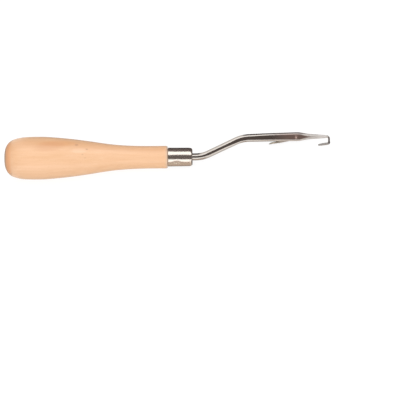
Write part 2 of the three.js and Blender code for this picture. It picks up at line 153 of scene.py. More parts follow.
def eased(points, sigma, step=0.05):
    """A smooth line through points: cubic by arc length, then eased with a bell of width sigma(s)."""
    p = np.array(points, float)
    s = np.concatenate([[0], np.cumsum(np.linalg.norm(np.diff(p, axis=0), axis=1))])
    q = np.linspace(0, s[-1], int(s[-1] / step) + 2)
    line = np.stack([hermite(list(zip(s, p[:, k])), q) for k in range(p.shape[1])], 1)
    out = line.copy()
    for i, x in enumerate(q):
        g = min(sigma(x, line[i]), (x - q[0]) / 2.5, (q[-1] - x) / 2.5)
        if g > step * 0.5:
            near = np.abs(q - x) < 3 * g
            k = np.exp(-0.5 * ((q[near] - x) / g) ** 2)
            out[i] = (k[:, None] * line[near]).sum(0) / k.sum()
    return out


def along(line, spacing):
    """Picks points of a fine line so that neighbours are about spacing(point) apart."""
    out, since = [line[0]], 0.0
    for a, b in zip(line[:-1], line[1:]):
        since += float(np.linalg.norm(b - a))
        if since >= spacing(b):
            out.append(b)
            since = 0.0
    if np.linalg.norm(out[-1] - line[-1]) > 1e-6:
        out.append(line[-1])
    return np.array(out)


# ------------------------------------------------------------------ meshes

def revolve(profile, sides, radius=None, closed=False):
    """Turns a profile of (u, r) about the u axis. Ends with r 0 are poles. radius(u, r, q) may reshape a ring."""
    profile = np.array(profile, float)
    q = np.arange(sides) / sides * 2 * math.pi
    verts, rings = [], []
    for u, r in profile:
        if r < 1e-9:
            rings.append([len(verts)])
            verts.append((u, 0.0, 0.0))
            continue
        rr = np.full(sides, r) if radius is None else radius(u, r, q)
        rings.append(list(range(len(verts), len(verts) + sides)))
        verts += list(zip(np.full(sides, u), rr * np.sin(q), rr * np.cos(q)))
    faces = []
    pairs = list(zip(rings[:-1], rings[1:])) + ([(rings[-1], rings[0])] if closed else [])
    for a, b in pairs:
        for i in range(sides):
            j = (i + 1) % sides
            if len(a) == 1:
                faces.append((a[0], b[j], b[i]))
            elif len(b) == 1:
                faces.append((a[i], a[j], b[0]))
            else:
                faces.append((a[i], a[j], b[j], b[i]))
    return np.array(verts), faces


def skin(rings):
    """Closed skin over rings of equal length, capped at both ends with a fan."""
    rings = np.array(rings, float)
    n, k = rings.shape[:2]
    verts = rings.reshape(-1, 3)
    faces = []
    for i in range(n - 1):
        for j in range(k):
            m = (j + 1) % k
            faces.append((i * k + j, i * k + m, (i + 1) * k + m, (i + 1) * k + j))
    first, last = len(verts), len(verts) + 1
    verts = np.vstack([verts, rings[0].mean(0), rings[-1].mean(0)])
    for j in range(k):
        m = (j + 1) % k
        faces.append((first, m, j))
        faces.append((last, (n - 1) * k + j, (n - 1) * k + m))
    return verts, faces


def mesh_of(name, verts, faces, merge=1e-4):
    """An object in millimetres, tidied and with its faces pointing out."""
    me = bpy.data.meshes.new(name)
    me.from_pydata([tuple(map(float, p)) for p in verts], [], faces)
    bm = bmesh.new()
    bm.from_mesh(me)
    bmesh.ops.remove_doubles(bm, verts=bm.verts, dist=merge)
    bmesh.ops.dissolve_degenerate(bm, edges=bm.edges, dist=merge)
    bmesh.ops.recalc_face_normals(bm, faces=bm.faces)
    if bm.calc_volume(signed=True) < 0:
        bmesh.ops.reverse_faces(bm, faces=bm.faces)
    bm.to_mesh(me)
    bm.free()
    obj = bpy.data.objects.new(name, me)
    bpy.context.scene.collection.objects.link(obj)
    return obj


def cut(obj, *tools):
    """Takes the tools out of obj and removes them."""
    for tool in tools:
        mod = obj.modifiers.new("cut", "BOOLEAN")
        mod.operation, mod.solver, mod.object = "DIFFERENCE", "EXACT", tool
    dg = bpy.context.evaluated_depsgraph_get()
    me = bpy.data.meshes.new_from_object(obj.evaluated_get(dg))
    obj.modifiers.clear()
    old = obj.data
    obj.data = me
    me.name = old.name
    bpy.data.meshes.remove(old)
    for tool in tools:
        data = tool.data
        bpy.data.objects.remove(tool)
        bpy.data.meshes.remove(data)
    return obj


def points_of(obj):
    co = np.zeros(len(obj.data.vertices) * 3)
    obj.data.vertices.foreach_get("co", co)
    return co.reshape(-1, 3)


def add_vector(obj, name, values):
    a = obj.data.attributes.new(name, "FLOAT_VECTOR", "POINT")
    a.data.foreach_set("vector", np.asarray(values, np.float32).ravel())


def add_float(obj, name, values):
    a = obj.data.attributes.new(name, "FLOAT", "POINT")
    a.data.foreach_set("value", np.asarray(values, np.float32).ravel())


def finished(obj, body, node, material, sharp=38, extra=(), tool_coords=None):
    """Lays the piece down in metres, shades it and hands it to its body."""
    p = points_of(obj)
    add_vector(obj, "tool", p if tool_coords is None else tool_coords)
    for name, values in extra:
        (add_float if np.ndim(values) == 1 else add_vector)(obj, name, values)
    obj.data.vertices.foreach_set("co", place(p).astype(np.float32).ravel())
    obj.data.update()
    obj.data.shade_smooth()
    obj.data.set_sharp_from_angle(angle=rad(sharp))
    obj.data.materials.clear()
    obj.data.materials.append(material)
    for poly in obj.data.polygons:
        poly.material_index = 0
    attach(obj, body)
    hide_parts(*([node] if isinstance(node, str) else node))
    return obj


# ------------------------------------------------------------------ node materials

class Graph:
    """A small helper to write node trees line by line."""

    def __init__(self, tree):
        self.tree = tree
        tree.nodes.clear()

    def add(self, kind, inputs=None, **settings):
        n = self.tree.nodes.new(kind)
        for k, v in settings.items():
            setattr(n, k, v)
        for k, v in (inputs or {}).items():
            self.put(n.inputs[k], v)
        return n

    def put(self, socket, value):
        if isinstance(value, bpy.types.NodeSocket):
            self.tree.links.new(value, socket)
        elif isinstance(value, bpy.types.Node):
            self.tree.links.new(value.outputs[0], socket)
        else:
            socket.default_value = value

    def attr(self, name, out="Vector"):
        return self.add("ShaderNodeAttribute", attribute_name=name).outputs[out]

    def math(self, op, a, b=0.0, c=0.0, clamp=False):
        n = self.add("ShaderNodeMath", operation=op, use_clamp=clamp)
        for i, v in enumerate((a, b, c)):
            self.put(n.inputs[i], v)
        return n.outputs[0]

    def vec(self, op, a, b=(0, 0, 0)):
        n = self.add("ShaderNodeVectorMath", operation=op)
        self.put(n.inputs[0], a)
        if op == "SCALE":
            self.put(n.inputs["Scale"], b)
        else:
            self.put(n.inputs[1], b)
        return n.outputs["Value"] if op in ("DOT_PRODUCT", "LENGTH", "DISTANCE") else n.outputs[0]

    def split(self, v):
        n = self.add("ShaderNodeSeparateXYZ", {0: v})
        return n.outputs

    def join(self, x, y, z):
        return self.add("ShaderNodeCombineXYZ", {0: x, 1: y, 2: z}).outputs[0]

    def noise(self, v, scale=1.0, detail=3.0, rough=0.5, distortion=0.0, out=0):
        n = self.add("ShaderNodeTexNoise", {"Vector": v, "Scale": scale, "Detail": detail, "Roughness": rough, "Distortion": distortion})
        return n.outputs[out]

    def ramp(self, fac, stops, interpolation="LINEAR"):
        n = self.add("ShaderNodeValToRGB", {0: fac})
        n.color_ramp.interpolation = interpolation
        e = n.color_ramp.elements
        while len(e) < len(stops):
            e.new(0.5)
        for el, (p, c) in zip(e, stops):
            el.position = p
            el.color = (c, c, c, 1) if isinstance(c, (int, float)) else (*c, 1)
        return n.outputs[0]

    def range(self, v, a, b, c=0.0, d=1.0, smooth=True):
        n = self.add("ShaderNodeMapRange", {"Value": v, "From Min": a, "From Max": b, "To Min": c, "To Max": d},
                     interpolation_type="SMOOTHSTEP" if smooth else "LINEAR")
        return n.outputs[0]

    def mix(self, fac, a, b, blend="MIX"):
        n = self.add("ShaderNodeMix", data_type="RGBA", blend_type=blend)
        self.put(n.inputs["Factor"], fac)
        self.put([s for s in n.inputs if s.name == "A" and s.type == "RGBA"][0], a)
        self.put([s for s in n.inputs if s.name == "B" and s.type == "RGBA"][0], b)
        return [s for s in n.outputs if s.type == "RGBA"][0]

    def bump(self, height, distance, strength=1.0, normal=None):
        ins = {"Height": height, "Distance": distance, "Strength": strength}
        if normal is not None:
            ins["Normal"] = normal
        return self.add("ShaderNodeBump", ins).outputs[0]


def material(name):
    m = bpy.data.materials.new(name)
    m.use_nodes = True
    g = Graph(m.node_tree)
    shader = g.add("ShaderNodeBsdfPrincipled")
    out = g.add("ShaderNodeOutputMaterial")
    m.node_tree.links.new(shader.outputs[0], out.inputs["Surface"])
    return m, g, shader


def rgba(r, g, b):
    return (r, g, b, 1.0)


def wood_material():
    m, g, s = material("lacquered_wood")
    p = g.attr("tool")
    u, v, w = g.split(p)[0:3]
    # slow wander of the grain, so that no line is straight
    wander = g.noise(g.vec("MULTIPLY", p, (0.018, 0.05, 0.05)), 1.0, 2.0, 0.5, out=1)
    wx, wy, wz = g.split(g.vec("SUBTRACT", wander, (0.5, 0.5, 0.5)))[0:3]
    # growth rings: the pith lies outside the handle, a little askew
    rv = g.math("ADD", g.math("ADD", v, g.math("MULTIPLY", u, 0.035)), g.math("MULTIPLY_ADD", wy, 5.0, 31.0))
    rw = g.math("ADD", g.math("ADD", w, g.math("MULTIPLY", u, -0.05)), g.math("MULTIPLY_ADD", wz, 5.0, -19.0))
    dist = g.math("SQRT", g.math("ADD", g.math("MULTIPLY", rv, rv), g.math("MULTIPLY", rw, rw)))
    uneven = g.noise(g.vec("MULTIPLY", p, (0.004, 0.16, 0.16)), 1.0, 1.0)
    ring = g.math("FRACT", g.math("MULTIPLY_ADD", uneven, 2.6, g.math("DIVIDE", dist, 2.3)))
    late = g.ramp(ring, [(0.0, 0.0), (0.62, 0.12), (0.9, 0.75), (0.965, 1.0), (1.0, 0.0)], "B_SPLINE")
    # long fibres, coarse and fine
    fibre = g.noise(g.vec("MULTIPLY", p, (0.035, 1.0, 1.0)), 1.0, 4.0, 0.62, 0.15)
    fine = g.noise(g.vec("MULTIPLY", p, (0.16, 6.5, 6.5)), 1.0, 3.0, 0.6)
    # vessels: short dark dashes along the grain
    dash = g.noise(g.vec("MULTIPLY", p, (0.55, 9.0, 9.0)), 1.0, 1.0, 0.4)
    dash = g.range(dash, 0.66, 0.76)
    # pith flecks: few, small, brown
    cell = g.add("ShaderNodeTexVoronoi", {"Vector": g.vec("MULTIPLY", p, (0.085, 0.34, 0.34)), "Scale": 1.0, "Randomness": 1.0})
    keep = g.range(g.split(cell.outputs["Color"])[0], 0.80, 0.82)
    size = g.math("MULTIPLY_ADD", g.split(cell.outputs["Color"])[1], 0.1, 0.05)
    fleck = g.math("MULTIPLY", keep, g.range(g.math("DIVIDE", cell.outputs["Distance"], size), 1.0, 0.35))
    fleck = g.math("MULTIPLY", fleck, g.range(fine, 0.38, 0.55))
    # broad changes of tone, one of them an orange streak along one flank of the belly
    tone = g.noise(g.vec("MULTIPLY", p, (0.014, 0.09, 0.09)), 1.0, 2.0, 0.55)
    su = g.math("DIVIDE", g.math("SUBTRACT", u, 27.5), 12.5)
    sv = g.math("DIVIDE", g.math("SUBTRACT", g.math("MULTIPLY_ADD", wy, 2.0, v), 7.4), 2.0)
    streak = g.math("ADD", g.math("MULTIPLY", su, su), g.math("MULTIPLY", sv, sv))
    streak = g.math("MULTIPLY", g.range(streak, 1.0, 0.0), g.range(w, -2.0, 2.0))
    su = g.math("DIVIDE", g.math("SUBTRACT", u, 23.0), 9.5)
    sv = g.math("DIVIDE", g.math("SUBTRACT", g.math("MULTIPLY_ADD", wz, 3.0, g.math("MULTIPLY_ADD", u, -0.07, v)), 4.3), 2.9)
    shade = g.math("ADD", g.math("MULTIPLY", su, su), g.math("MULTIPLY", sv, sv))
    shade = g.math("MULTIPLY", g.range(shade, 1.0, 0.0), g.range(w, -2.0, 2.0))
    # painted highlight: a pale spot on the upper side, where the lacquer catches the light
    su = g.math("DIVIDE", g.math("SUBTRACT", u, 38.2), 5.0)
    sv = g.math("DIVIDE", g.math("SUBTRACT", v, 3.5), 1.7)
    painted_highlight_spot = g.math("ADD", g.math("MULTIPLY", su, su), g.math("MULTIPLY", sv, sv))
    painted_highlight_spot = g.math("MULTIPLY", g.range(painted_highlight_spot, 1.0, 0.0), g.range(w, -2.0, 2.0))
    # and a deeper band along that flank
    slant = g.math("DIVIDE", v, g.math("MAXIMUM", g.math("SQRT", g.math("MULTIPLY_ADD", v, v, g.math("MULTIPLY", w, w))), 0.1))
    slant = g.math("MULTIPLY_ADD", g.math("SUBTRACT", tone, 0.5), 0.5, slant)
    flank = g.math("MULTIPLY", g.range(slant, 0.25, 0.55), g.range(slant, 1.0, 0.85))
    # end grain shows at the butt; painted shade darkens the butt's edge, more towards +v, and greys the wood's lip
    # against the ferrule
    end = g.math("MULTIPLY", g.range(u, 4.1, 2.5), g.range(u, 0.45, 1.4))
    butt_edge_painted_shade = g.math("MULTIPLY", g.range(u, 1.3, 0.45), g.range(v, -9.0, 6.0, 0.6, 1.0))
    # painted shade: the wood's rounded lip greyed where it meets the ferrule
    lip = g.range(u, 81.8, 83.0)

    pale, warm, deep = rgba(0.785, 0.495, 0.305), rgba(0.74, 0.45, 0.255), rgba(0.63, 0.33, 0.16)
    c = g.mix(g.range(tone, 0.3, 0.72), pale, warm)
    c = g.mix(g.math("MULTIPLY", late, 0.12), c, deep)
    c = g.mix(g.math("MULTIPLY", g.range(fibre, 0.42, 0.8), 0.18), c, deep)
    c = g.mix(g.math("MULTIPLY", g.range(fibre, 0.5, 0.22), 0.35), c, rgba(0.82, 0.57, 0.38))
    c = g.mix(g.math("MULTIPLY", g.range(fine, 0.5, 0.85), 0.22), c, deep)
    c = g.mix(g.math("MULTIPLY", dash, 0.3), c, rgba(0.42, 0.19, 0.08))
    c = g.mix(g.math("MULTIPLY", streak, 0.42), c, rgba(0.68, 0.31, 0.115))
    c = g.mix(g.math("MULTIPLY", shade, 0.42), c, rgba(0.60, 0.30, 0.16))
    # painted highlight on the lacquer
    c = g.mix(g.math("MULTIPLY", painted_highlight_spot, 0.4), c, rgba(0.86, 0.60, 0.42))
    c = g.mix(g.math("MULTIPLY", flank, 0.3), c, deep)
    c = g.mix(g.math("MULTIPLY", fleck, 0.62), c, rgba(0.30, 0.12, 0.05))
    for fu, fv, fl, fh, dark in FLECKS:
        d1 = g.math("DIVIDE", g.math("SUBTRACT", u, fu), fl)
        d2 = g.math("DIVIDE", g.math("SUBTRACT", g.math("MULTIPLY_ADD", g.math("SUBTRACT", fine, 0.5), 0.5, v), fv), fh)
        d1 = g.math("ADD", g.math("MULTIPLY", d1, d1), g.math("MULTIPLY", d2, d2))
        c = g.mix(g.math("MULTIPLY", g.math("MULTIPLY", g.range(d1, 1.0, 0.1), g.range(w, 0.0, 2.0)), dark), c, rgba(0.33, 0.15, 0.09))
    c = g.mix(g.math("MULTIPLY", end, 0.85), c, rgba(0.776, 0.39, 0.19))
    # painted shade: the butt's edge darkened, more towards +v
    c = g.mix(g.math("MULTIPLY", butt_edge_painted_shade, 0.55), c, rgba(0.235, 0.14, 0.10))
    # painted shade on the lip against the ferrule
    c = g.mix(g.math("MULTIPLY", lip, 0.35), c, rgba(0.50, 0.46, 0.41))
    # the spigot and bore carry no lacquer and are rougher; their dark brown is painted shade under the ferrule and in
    # the bore
    bare_and_painted_shade = g.math("GREATER_THAN", u, HANDLE_END + 0.01)
    c = g.mix(g.math("MULTIPLY", bare_and_painted_shade, 0.8), c, rgba(0.26, 0.18, 0.13))
    g.put(s.inputs["Base Color"], c)
    rough = g.math("MULTIPLY_ADD", fine, 0.10, 0.36)
    rough = g.math("ADD", rough, g.math("MULTIPLY", dash, 0.1))
    g.put(s.inputs["Roughness"], g.math("ADD", rough, g.math("MULTIPLY", bare_and_painted_shade, 0.3)))
    s.inputs["IOR"].default_value = 1.46
    s.inputs["Specular IOR Level"].default_value = 0.35
    s.inputs["Coat Weight"].default_value = 0.75
    s.inputs["Coat Roughness"].default_value = 0.2
    s.inputs["Coat IOR"].default_value = 1.5
    s.inputs["Subsurface Weight"].default_value = 0.0
    s.inputs["Sheen Weight"].default_value = 0.1
    s.inputs["Sheen Roughness"].default_value = 0.35
    height = g.math("ADD", g.math("MULTIPLY", fine, 0.3), g.math("MULTIPLY", dash, -0.5))
    height = g.math("ADD", height, g.noise(p, 0.9, 2.0, 0.5))
    g.put(s.inputs["Normal"], g.bump(height, 0.00001, 0.6))
    return m


def plated(name, base, tarnish, rough, grain, lines, coords="tool", worn_and_painted_light=False, stem=None, belly=None, metallic=1.0):
    """Bright plate on metal. grain stretches the polishing lines, in 1/mm along each axis of coords."""
    m, g, s = material(name)
    p = g.attr(coords)
    tool = g.attr("tool")
    line = g.noise(g.vec("MULTIPLY", p, grain), 1.0, 3.0, 0.7)
    cloud = g.noise(g.vec("MULTIPLY", tool, (0.35, 0.35, 0.35)), 1.0, 3.0, 0.6)
    speck = g.noise(g.vec("MULTIPLY", tool, (2.6, 2.6, 2.6)), 1.0, 2.0, 0.5)
    recess_tarnish_and_shade = g.attr("recess", "Fac")
    c = g.mix(g.math("MULTIPLY", g.range(cloud, 0.35, 0.8), 0.5), base, tarnish)
    c = g.mix(g.math("MULTIPLY", g.range(speck, 0.66, 0.78), 0.25), c, rgba(*(0.7 * x for x in tarnish[:3])))
    # tarnish and painted shade: the recesses, inside the ferrule and in the slot, go dark brown
    c = g.mix(g.math("MULTIPLY", recess_tarnish_and_shade, 0.6), c, rgba(0.16, 0.135, 0.115))
    r = g.math("MULTIPLY_ADD", g.range(line, 0.35, 0.75), 0.05, rough)
    r = g.math("MULTIPLY_ADD", g.range(cloud, 0.45, 0.8), 0.06, r)
    if worn_and_painted_light:                                                  # handling and the latch have dulled the head, filing the neck; on the head, painted shade darkens the upper side and leaves the lower side lighter, and a painted highlight lies by the rivet
        u = g.split(tool)[0]
        across = g.split(p)[1]
        top = g.range(across, -1.3, -0.5)
        head = g.math("ADD", g.math("MULTIPLY", g.math("SUBTRACT", 1.0, top), g.range(u, 134.0, 139.5)), g.math("MULTIPLY", top, g.range(u, 132.0, 141.0)))
        head = g.math("MULTIPLY", head, g.range(u, 154.0, 151.0))
        wedge = g.math("ADD", g.math("ABSOLUTE", g.math("ADD", across, g.range(u, 149.0, 152.0, 0.0, 0.2))), g.range(u, 149.5, 157.0, 0.0, 1.25, smooth=False))
        cheek = g.math("MULTIPLY", g.range(u, 135.0, 147.0), g.range(wedge, 1.55, 1.0))
        neck = g.math("MULTIPLY", g.range(u, 150.5, 155.0), g.range(cheek, 1.0, 0.0, smooth=False))
        neck = g.math("MULTIPLY", neck, g.range(g.split(tool)[1], 7.4, 8.2))
        r = g.math("MULTIPLY_ADD", g.math("MAXIMUM", head, cheek), 0.2, r)
        r = g.math("MULTIPLY_ADD", g.math("MULTIPLY", neck, g.range(u, 164.8, 163.6)), 0.5, r)
        # painted shade and light: darker colour on the head's upper side, lighter on its lower side
        c = g.mix(g.math("MULTIPLY", head, 0.9), c, g.mix(top, rgba(0.70, 0.66, 0.63), rgba(0.40, 0.365, 0.355)))
        c = g.mix(cheek, c, rgba(0.725, 0.56, 0.505))
        c = g.mix(g.math("MULTIPLY", neck, 0.9), c, g.mix(g.range(u, 157.0, 162.5), rgba(0.57, 0.54, 0.515), rgba(0.71, 0.685, 0.665)))
        near = g.math("MULTIPLY", g.range(g.math("ABSOLUTE", g.math("SUBTRACT", u, PIVOT[0] + 0.1)), 0.8, 0.25), g.math("MULTIPLY", cheek, g.range(across, 0.9, 0.2)))      # filed round the rivet; a painted highlight, light pink, lies there
        # painted highlight beside the rivet
        c = g.mix(g.math("MULTIPLY", near, 0.8), c, rgba(1.0, 0.77, 0.70))
        arm = g.math("MULTIPLY", g.range(u, 157.0, 159.0), g.range(g.split(tool)[1], 7.4, 6.9))
        c = g.mix(g.math("MULTIPLY", arm, 0.8), c, rgba(0.44, 0.43, 0.425))
        r = g.math("MULTIPLY_ADD", near, 0.16, r)
        g.put(s.inputs["Metallic"], g.math("MULTIPLY_ADD", g.math("MULTIPLY", neck, g.range(u, 165.2, 163.8)), -0.5, 1.0))
    if belly:                                                 # painted reflection: the lower flank tinted warm tan
        c = g.mix(g.range(g.split(tool)[1], -1.9, -2.9), c, belly)
    if stem:                                                  # the narrow part rougher, and lighter in colour as a painted highlight
        dull_and_painted_highlight = g.range(g.split(tool)[0], *stem)
        c = g.mix(dull_and_painted_highlight, c, rgba(0.93, 0.88, 0.82))
        r = g.math("MULTIPLY_ADD", dull_and_painted_highlight, 0.34, r)
    g.put(s.inputs["Base Color"], c)
    g.put(s.inputs["Roughness"], g.math("MULTIPLY_ADD", recess_tarnish_and_shade, 0.22, r))
    if not worn_and_painted_light:
        s.inputs["Metallic"].default_value = metallic
    g.put(s.inputs["Normal"], g.bump(g.math("ADD", line, g.math("MULTIPLY", cloud, 0.6)), lines, 0.5))
    return m


WOOD = wood_material()
# the ferrule's lower flank carries a painted reflection in warm tan
FERRULE = plated("ferrule_nickel", rgba(0.74, 0.685, 0.635), rgba(0.71, 0.64, 0.575), 0.18, (9.0, 0.5, 0.5), 0.000002, belly=rgba(0.68, 0.59, 0.505), metallic=0.975)
NEEDLE = plated("needle_nickel", rgba(0.56, 0.53, 0.503), rgba(0.50, 0.46, 0.425), 0.11, (0.5, 8.0, 8.0), 0.0000015, "flow", worn_and_painted_light=True)
# the latch's narrow part carries a painted highlight
LATCH = plated("latch_nickel", rgba(0.73, 0.66, 0.56), rgba(0.63, 0.56, 0.45), 0.42, (0.7, 8.0, 8.0), 0.000002, stem=(139.3, 141.5))
RIVET = plated("rivet_steel", rgba(0.90, 0.74, 0.68), rgba(0.84, 0.68, 0.62), 0.48, (7.0, 1.0, 7.0), 0.000002)

# ------------------------------------------------------------------ the punched mark in ferrule and wood


def stake(u, q):
    """0 to 1: how deep the punched mark is at a place on the ferrule, q measured from w towards v."""
    around = (q - rad(STAKE_ANGLE) + math.pi) % (2 * math.pi) - math.pi
    d = ((u - STAKE_U) / STAKE_HALF[0]) ** 2 + (around * FERRULE_R_BACK / STAKE_HALF[1]) ** 2
    return np.exp(-0.9 * d) / (1 + 0.15 * d)


# ------------------------------------------------------------------ handle

def handle_bore(u, r, q):
    if r > BORE_R + 0.05:                                     # outside
        return r - STAKE_DEPTH * stake(u, q) * (u > 84.2)
    if u < EAR_BACK - 0.1:
        return np.full(len(q), r)
    span = EAR_SPAN + 0.1
    if u < 66.6:
        span = 0.5 + (span - 0.5) * (u - EAR_BACK + 0.1) / (66.6 - EAR_BACK + 0.1)
    notch = np.minimum(span / np.maximum(np.abs(np.sin(q)), 1e-6), (EAR_THICK / 2 + 0.06) / np.maximum(np.abs(np.cos(q)), 1e-6))
    return np.maximum(r, notch)


outer = eased([(u, 0.9985 * r) for u, r in HANDLE_PROFILE], lambda s, p: 0.5 if p[0] < 5 else (1.3 if p[0] < 81.0 else 0.07), 0.04)
outer = along(outer, lambda p: 0.28 if p[0] < 5 else (0.75 if p[0] < 81.5 else 0.06))
profile = [tuple(p) for p in outer] + [(HANDLE_END, 4.9), (HANDLE_END, 4.4), (HANDLE_END + 0.02, SPIGOT_R_BACK)]
profile += [(x, SPIGOT_R_BACK + (SPIGOT_R_FRONT - SPIGOT_R_BACK) * (x - 83.3) / 11.4) for x in np.arange(83.6, 94.6, 0.3)]
profile += [(94.7, SPIGOT_R_FRONT), (94.95, SPIGOT_R_FRONT - 0.15), (SPIGOT_END, SPIGOT_R_FRONT - 0.35), (SPIGOT_END, 3.0)]
profile += [(x, BORE_R) for x in (SPIGOT_END, 90, 84, 78, 72, 66.6, 65.6, 64.6, 64.5)]
profile += [(BORE_END + 1.6, BORE_R), (BORE_END, 0.7), (BORE_END, 0.0)]
handle = mesh_of("handle_turned", *revolve(profile, 192, handle_bore))
finished(handle, "tool", "handle", WOOD, sharp=50)

# ------------------------------------------------------------------ ferrule

back, front, rb, rf = FERRULE_BACK, FERRULE_FRONT, FERRULE_R_BACK, FERRULE_R_FRONT
outside = eased([(back + 0.02, rb - 0.36), (back, rb - 0.2), (back + 0.02, rb - 0.09), (back + 0.07, rb - 0.03), (back + 0.15, rb),
                 (back + 0.7, rb), (back + 3, rb - 0.03), (front - 4, rf + 0.03), (front - 1.8, rf), (front - 1.4, rf - 0.03),
                 (front - 1.03, rf - 0.095), (front - 0.75, rf - 0.17), (front - 0.5, rf - 0.29), (front - 0.32, rf - 0.44), (front - 0.18, rf - 0.64),
                 (front - 0.08, rf - 0.96), (front - 0.02, rf - 1.2), (front, rf - 1.42), (front, 2.9), (front, 2.5), (front - 0.03, 2.15), (front - 0.1, 2.0),
                 (front - 0.2, SHANK_HOLE_R)], lambda s, p: 0.045 if p[0] < back + 0.5 else 0.07, 0.01)
outside = along(outside, lambda p: 0.06 if p[0] < back + 0.8 or p[0] > front - 1.6 else 0.16)
inside = [(front - 0.42, SHANK_HOLE_R), (front - 0.46, 2.0), (front - 0.47, 2.9), (front - 0.48, 3.35), (front - 0.56, 3.72), (front - 0.8, 4.0), (front - 1.2, 4.18), (front - 1.45, rf - FERRULE_WALL)]
inside += [(x, rb - FERRULE_WALL + (rf - rb) * (x - back) / (front - back)) for x in np.arange(front - 1.75, back + 0.3, -0.3)]
inside += [(back + 0.12, rb - FERRULE_WALL)]


def uneven(u, q):
    """The drawn sheet is a little uneven towards both ends of the cap."""
    return 0.022 * min(1.0, ((u - 89.6) / 6.0) ** 2) * (1.0 if u < 89.6 else 0.7) * np.cos(7 * (q - rad(26)))


def ferrule_wall(u, r, q):
    if r < 4.4:
        return np.full(len(q), r)
    return r - STAKE_DEPTH * stake(u, q) * (back + 0.5 < u < front - 1.5) - uneven(u, q) * min(1.0, (r - 4.4) / 0.2)


ferrule = mesh_of("ferrule_cap", *revolve([tuple(p) for p in outside] + inside, 256, ferrule_wall, closed=True))
p = points_of(ferrule)
r = np.hypot(p[:, 1], p[:, 2])
inner = ((r < rb - 0.25 - 0.02 * (p[:, 0] - back)) & (p[:, 0] < front - 0.3)).astype(float) * (np.abs(p[:, 0] - STAKE_U) > 3)
finished(ferrule, "tool", "ferrule", FERRULE, sharp=50, extra=[("recess", inner)])

# ------------------------------------------------------------------ needle: centre line


def arc_points(centre, radius, a, b, n=60):
    q = np.linspace(a, b, n)
    return np.stack([centre[0] + radius * np.cos(q), centre[1] + radius * np.sin(q)], 1)


t1, t2, tilt = rad(BEND_1_TURN), rad(BEND_2_TURN), rad(HEAD_TILT)
end1 = np.array([BEND_1_U + BEND_1_R * math.sin(t1), BEND_1_R * (1 - math.cos(t1))])
start2 = end1 + BEND_GAP * np.array([math.cos(t1), math.sin(t1)])
centre2 = start2 + BEND_2_R * np.array([math.sin(t1), -math.cos(t1)])
q2 = math.pi / 2 + t1
end2 = centre2 + BEND_2_R * np.array([math.cos(q2 + t2), math.sin(q2 + t2)])
arm_tilt = math.atan2(ARM_TIP[1] - ARM_ROOT[1], ARM_TIP[0] - ARM_ROOT[0])
top_centre = (HOOK_FACE_U - HOOK_TOP_R, HOOK_TOP_V - HOOK_TOP_R)
low_to = arm_tilt + math.pi / 2
low_centre = (HOOK_FACE_U - HOOK_LOW_R, ARM_ROOT[1] - HOOK_LOW_R * math.sin(low_to))
arm_root = np.array([low_centre[0] + HOOK_LOW_R * math.cos(low_to), low_centre[1] + HOOK_LOW_R * math.sin(low_to)])

head_u = np.arange(end2[0] + 0.2, top_centre[0], 0.05)
head_line = end2[1] + (head_u - end2[0]) * math.tan(tilt)
slope = (NECK_AXIS[1][1] - NECK_AXIS[0][1]) / (NECK_AXIS[1][0] - NECK_AXIS[0][0])
neck_line = NECK_AXIS[0][1] + (head_u - NECK_AXIS[0][0]) * slope
head_v = -0.15 * np.log(np.exp(-head_line / 0.15) + np.exp(-neck_line / 0.15))      # the lower of the two, eased
head_v = np.where(head_u > 162, HOOK_TOP_V + (head_v - HOOK_TOP_V) * (top_centre[0] - head_u) / (top_centre[0] - 162), head_v)
straight = lambda a, b, n: np.stack([np.linspace(a[0], b[0], n), np.linspace(a[1], b[1], n)], 1)
centre_line = np.vstack([
    straight((TANG_END, 0), (BEND_1_U, 0), 200),
    arc_points((BEND_1_U, BEND_1_R), BEND_1_R, -math.pi / 2, -math.pi / 2 + t1, 120)[1:],
    straight(end1, start2, 160)[1:],
    arc_points(centre2, BEND_2_R, q2, q2 + t2, 120)[1:],
    np.stack([head_u, head_v], 1),
    arc_points(top_centre, HOOK_TOP_R, math.pi / 2, 0, 60),
    straight((HOOK_FACE_U, top_centre[1]), (HOOK_FACE_U, low_centre[1]), 30)[1:],
    arc_points(low_centre, HOOK_LOW_R, 0, low_to, 60)[1:],
    straight(arm_root, ARM_TIP, 80)[1:],
])
keep = np.concatenate([[True], np.linalg.norm(np.diff(centre_line, axis=0), axis=1) > 1e-6])
centre_line = centre_line[keep]
S = np.concatenate([[0], np.cumsum(np.linalg.norm(np.diff(centre_line, axis=0), axis=1))])
heading = np.unwrap(np.arctan2(*np.gradient(centre_line, S, axis=0).T[::-1]))
# bends of drawn wire have no sudden change of curvature
fine_s = np.arange(0, S[-1], 0.02)
fine_h = np.interp(fine_s, S, heading)
kernel = np.exp(-0.5 * (np.arange(-120, 121) * 0.02 / 0.8) ** 2)
kernel /= kernel.sum()
eased_h = np.convolve(np.pad(fine_h, 120, mode="edge"), kernel, mode="valid")
turned_part = fine_s < np.interp(158, centre_line[:1000, 0], S[:1000])
fine_h = np.where(turned_part, eased_h, fine_h)
top_u = centre_line[:, 0].argmax()


def s_at(u):
    """Arc length where the centre line passes u on its way out."""
    return np.interp(u, centre_line[:top_u, 0], S[:top_u])


S_CORNER = s_at(top_centre[0])
S_UPRIGHT = S_CORNER + HOOK_TOP_R * math.pi / 2
S_LOW = S_UPRIGHT + (top_centre[1] - low_centre[1])
S_ARM = S_LOW + HOOK_LOW_R * abs(low_to)
S_TIP = S[-1]

# ------------------------------------------------------------------ needle: sections

